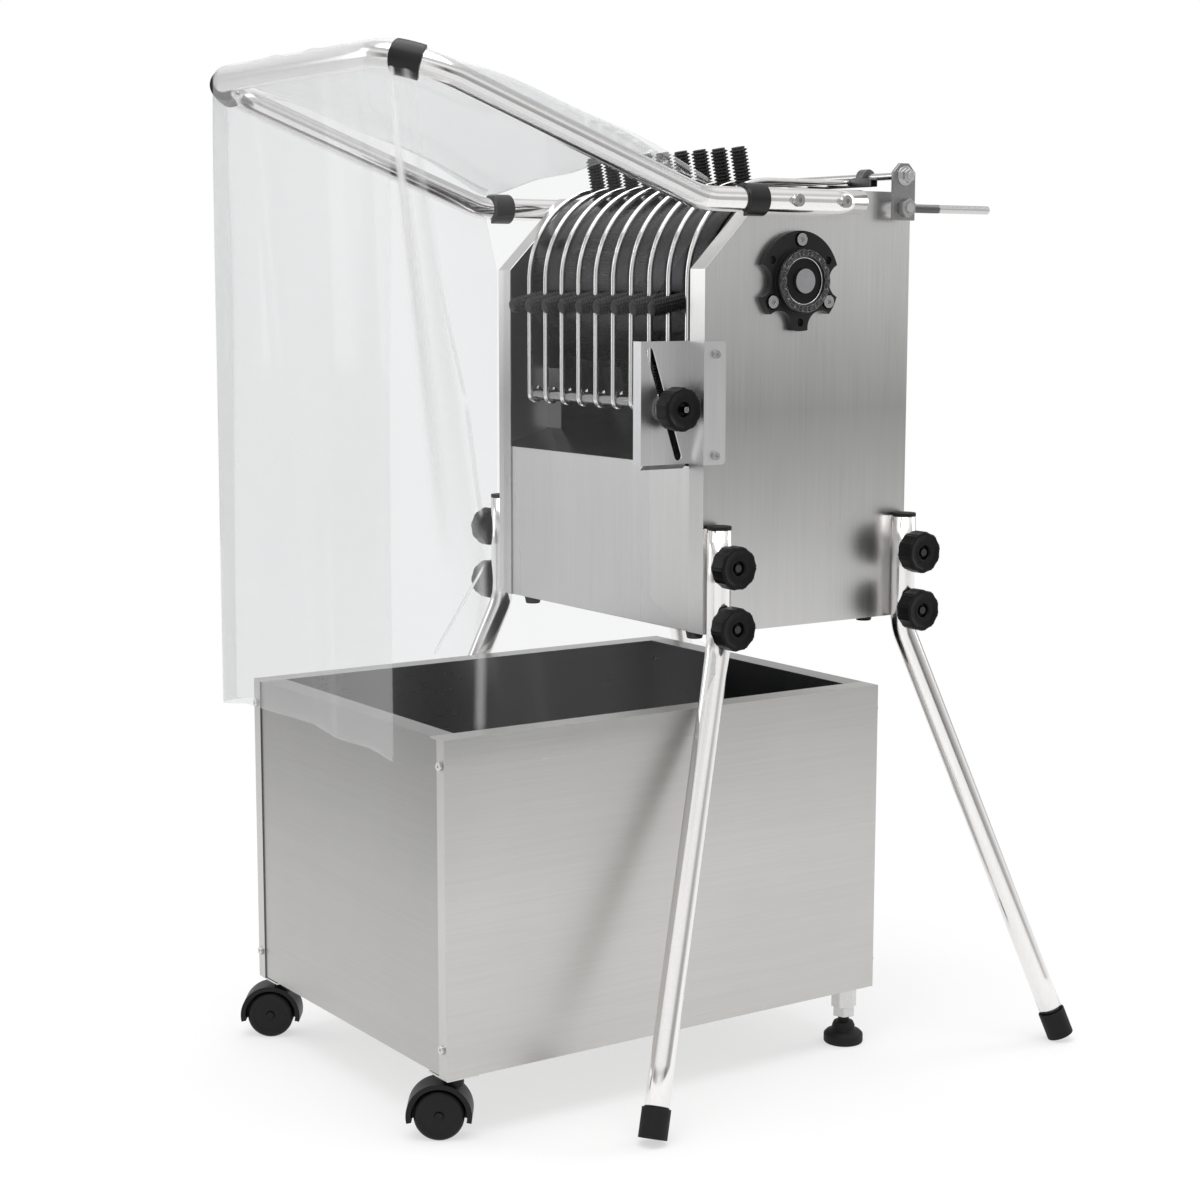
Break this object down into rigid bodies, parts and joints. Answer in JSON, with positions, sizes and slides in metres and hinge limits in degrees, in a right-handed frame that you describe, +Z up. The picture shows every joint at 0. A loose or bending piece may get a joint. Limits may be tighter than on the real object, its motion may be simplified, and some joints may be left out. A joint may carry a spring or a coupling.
{
  "type": "poultry plucker",
  "caption": "Drum poultry plucker: finger drum behind an adjustable bar guard in a steel cabinet on splayed tube legs, with a curtained hood over a wheeled feather tub.",
  "frame": {"origin": "on the floor, under the middle of the machine's bounding box", "axes": "+Z up, the curtained front faces -Y, +X is the side towards the viewer in the picture"},
  "size_m": [0.652, 0.796, 1.049],
  "materials": {
    "brushed_sheet": "fine brushed stainless sheet",
    "polished_sheet": "polished stainless sheet",
    "chrome_tube": "polished stainless tube",
    "bright_steel": "bright drawn steel",
    "grey_steel": "grey zinc-plated steel",
    "black_plastic": "black moulded plastic",
    "black_rubber": "black rubber",
    "motor_paint": "grey painted casing",
    "pulley_alloy": "turned alloy",
    "clear_film": "clear flexible film"
  },
  "bodies": {
    "machine": {"side_panel_right": "brushed_sheet", "side_panel_left": "brushed_sheet", "front_panel": "brushed_sheet", "rear_panel": "brushed_sheet", "base_plate": "brushed_sheet", "feather_chute": "brushed_sheet", "belt_cover": "brushed_sheet", "bearing_flanges": "black_plastic", "bearing_inserts": "bright_steel", "cabinet_fasteners": "bright_steel", "motor": "motor_paint", "drive_belt": "black_rubber", "guide_brackets": "polished_sheet", "pivot_posts": "bright_steel", "hood_tube": "chrome_tube", "curtain_clips": "black_plastic", "curtain_roof": "clear_film", "curtain_front": "clear_film", "curtain_side_right": "clear_film", "curtain_side_left": "clear_film", "legs": "chrome_tube", "rubber_feet": "black_rubber", "leg_studs": "bright_steel"},
    "drum": {"drum_shell": "brushed_sheet", "drum_discs": "brushed_sheet", "drum_shaft": "bright_steel", "drum_pulley": "pulley_alloy", "finger_row_1": "black_rubber", "finger_row_2": "black_rubber", "finger_row_3": "black_rubber", "finger_row_4": "black_rubber"},
    "motor_rotor": {"motor_pulley": "pulley_alloy"},
    "guard_links": {"link_plates": "grey_steel", "rear_rod": "bright_steel"},
    "guard": {"guard_bars_left": "bright_steel", "guard_bars_middle": "bright_steel", "guard_bars_right": "bright_steel", "guard_rear_strip": "grey_steel", "guard_front_rod": "bright_steel", "guard_spacers": "bright_steel"},
    "guard_knob_right": {"guard_knob_right": "black_plastic"},
    "leg_knob_1": {"leg_knob_1": "black_plastic"},
    "leg_knob_2": {"leg_knob_2": "black_plastic"},
    "leg_knob_3": {"leg_knob_3": "black_plastic"},
    "leg_knob_4": {"leg_knob_4": "black_plastic"},
    "leg_knob_5": {"leg_knob_5": "black_plastic"},
    "leg_knob_6": {"leg_knob_6": "black_plastic"},
    "leg_knob_7": {"leg_knob_7": "black_plastic"},
    "leg_knob_8": {"leg_knob_8": "black_plastic"},
    "tub": {"tub_sides": "brushed_sheet", "tub_ends": "brushed_sheet", "tub_floor": "brushed_sheet", "tub_hardware": "bright_steel"},
    "caster_right": {"caster_fork_right": "black_plastic"},
    "caster_wheels_right": {"caster_wheels_right": "black_rubber"},
    "levelling_foot_right": {"levelling_foot_right": "black_rubber"},
    "caster_left": {"caster_fork_left": "black_plastic"},
    "caster_wheels_left": {"caster_wheels_left": "black_rubber"},
    "levelling_foot_left": {"levelling_foot_left": "black_rubber"}
  },
  "joints": [
    {"name": "drum_spin", "type": "hinge", "parent": "machine", "child": "drum", "pos_m": [0, 0.08814, 0.83], "axis": [1, 0, 0], "continuous": true},
    {"name": "motor_spin", "type": "hinge", "parent": "machine", "child": "motor_rotor", "pos_m": [0, 0.08814, 0.558], "axis": [1, 0, 0], "continuous": true},
    {"name": "link_swing", "type": "hinge", "parent": "machine", "child": "guard_links", "pos_m": [0, 0.21914, 0.906], "axis": [1, 0, 0], "range_deg": [-16, 9]},
    {"name": "guard_swing", "type": "hinge", "parent": "guard_links", "child": "guard", "pos_m": [0, 0.21914, 0.939], "axis": [1, 0, 0], "range_deg": [-8, 13]},
    {"name": "guard_knob_right_turn", "type": "hinge", "parent": "guard", "child": "guard_knob_right", "pos_m": [0.192, -0.05686, 0.703], "axis": [1, 0, 0], "range_deg": [0, 360]},
    {"name": "leg_knob_1_turn", "type": "hinge", "parent": "machine", "child": "leg_knob_1", "pos_m": [0.231, -0.01686, 0.545], "axis": [1, 0, 0], "range_deg": [0, 360]},
    {"name": "leg_knob_2_turn", "type": "hinge", "parent": "machine", "child": "leg_knob_2", "pos_m": [0.231, -0.01686, 0.483], "axis": [1, 0, 0], "range_deg": [0, 360]},
    {"name": "leg_knob_3_turn", "type": "hinge", "parent": "machine", "child": "leg_knob_3", "pos_m": [0.231, 0.23114, 0.545], "axis": [1, 0, 0], "range_deg": [0, 360]},
    {"name": "leg_knob_4_turn", "type": "hinge", "parent": "machine", "child": "leg_knob_4", "pos_m": [0.231, 0.23114, 0.483], "axis": [1, 0, 0], "range_deg": [0, 360]},
    {"name": "leg_knob_5_turn", "type": "hinge", "parent": "machine", "child": "leg_knob_5", "pos_m": [-0.231, -0.01686, 0.545], "axis": [1, 0, 0], "range_deg": [0, 360]},
    {"name": "leg_knob_6_turn", "type": "hinge", "parent": "machine", "child": "leg_knob_6", "pos_m": [-0.231, -0.01686, 0.483], "axis": [1, 0, 0], "range_deg": [0, 360]},
    {"name": "leg_knob_7_turn", "type": "hinge", "parent": "machine", "child": "leg_knob_7", "pos_m": [-0.231, 0.23114, 0.545], "axis": [1, 0, 0], "range_deg": [0, 360]},
    {"name": "leg_knob_8_turn", "type": "hinge", "parent": "machine", "child": "leg_knob_8", "pos_m": [-0.231, 0.23114, 0.483], "axis": [1, 0, 0], "range_deg": [0, 360]},
    {"name": "tub_slide", "type": "slide", "parent": "machine", "child": "tub", "axis": [0, 1, 0], "range_m": [0, 0.3]},
    {"name": "caster_right_swivel", "type": "hinge", "parent": "tub", "child": "caster_right", "pos_m": [0.185, -0.31786, 0.06], "axis": [0, 0, 1], "continuous": true},
    {"name": "caster_right_roll", "type": "hinge", "parent": "caster_right", "child": "caster_wheels_right", "pos_m": [0.17717, -0.32946, 0.025], "axis": [0.829, -0.5592, 0], "continuous": true},
    {"name": "levelling_foot_right_turn", "type": "hinge", "parent": "tub", "child": "levelling_foot_right", "pos_m": [0.183, 0.18014, 0.03], "axis": [0, 0, 1], "range_deg": [0, 360]},
    {"name": "caster_left_swivel", "type": "hinge", "parent": "tub", "child": "caster_left", "pos_m": [-0.185, -0.31786, 0.06], "axis": [0, 0, 1], "continuous": true},
    {"name": "caster_left_roll", "type": "hinge", "parent": "caster_left", "child": "caster_wheels_left", "pos_m": [-0.19283, -0.32946, 0.025], "axis": [0.829, -0.5592, 0], "continuous": true},
    {"name": "levelling_foot_left_turn", "type": "hinge", "parent": "tub", "child": "levelling_foot_left", "pos_m": [-0.183, 0.18014, 0.03], "axis": [0, 0, 1], "range_deg": [0, 360]}
  ],
  "couplings": [
    {"joint": "motor_spin", "follows": "drum_spin", "ratio": 2},
    {"joint": "guard_swing", "follows": "link_swing", "ratio": -0.77}
  ]
}
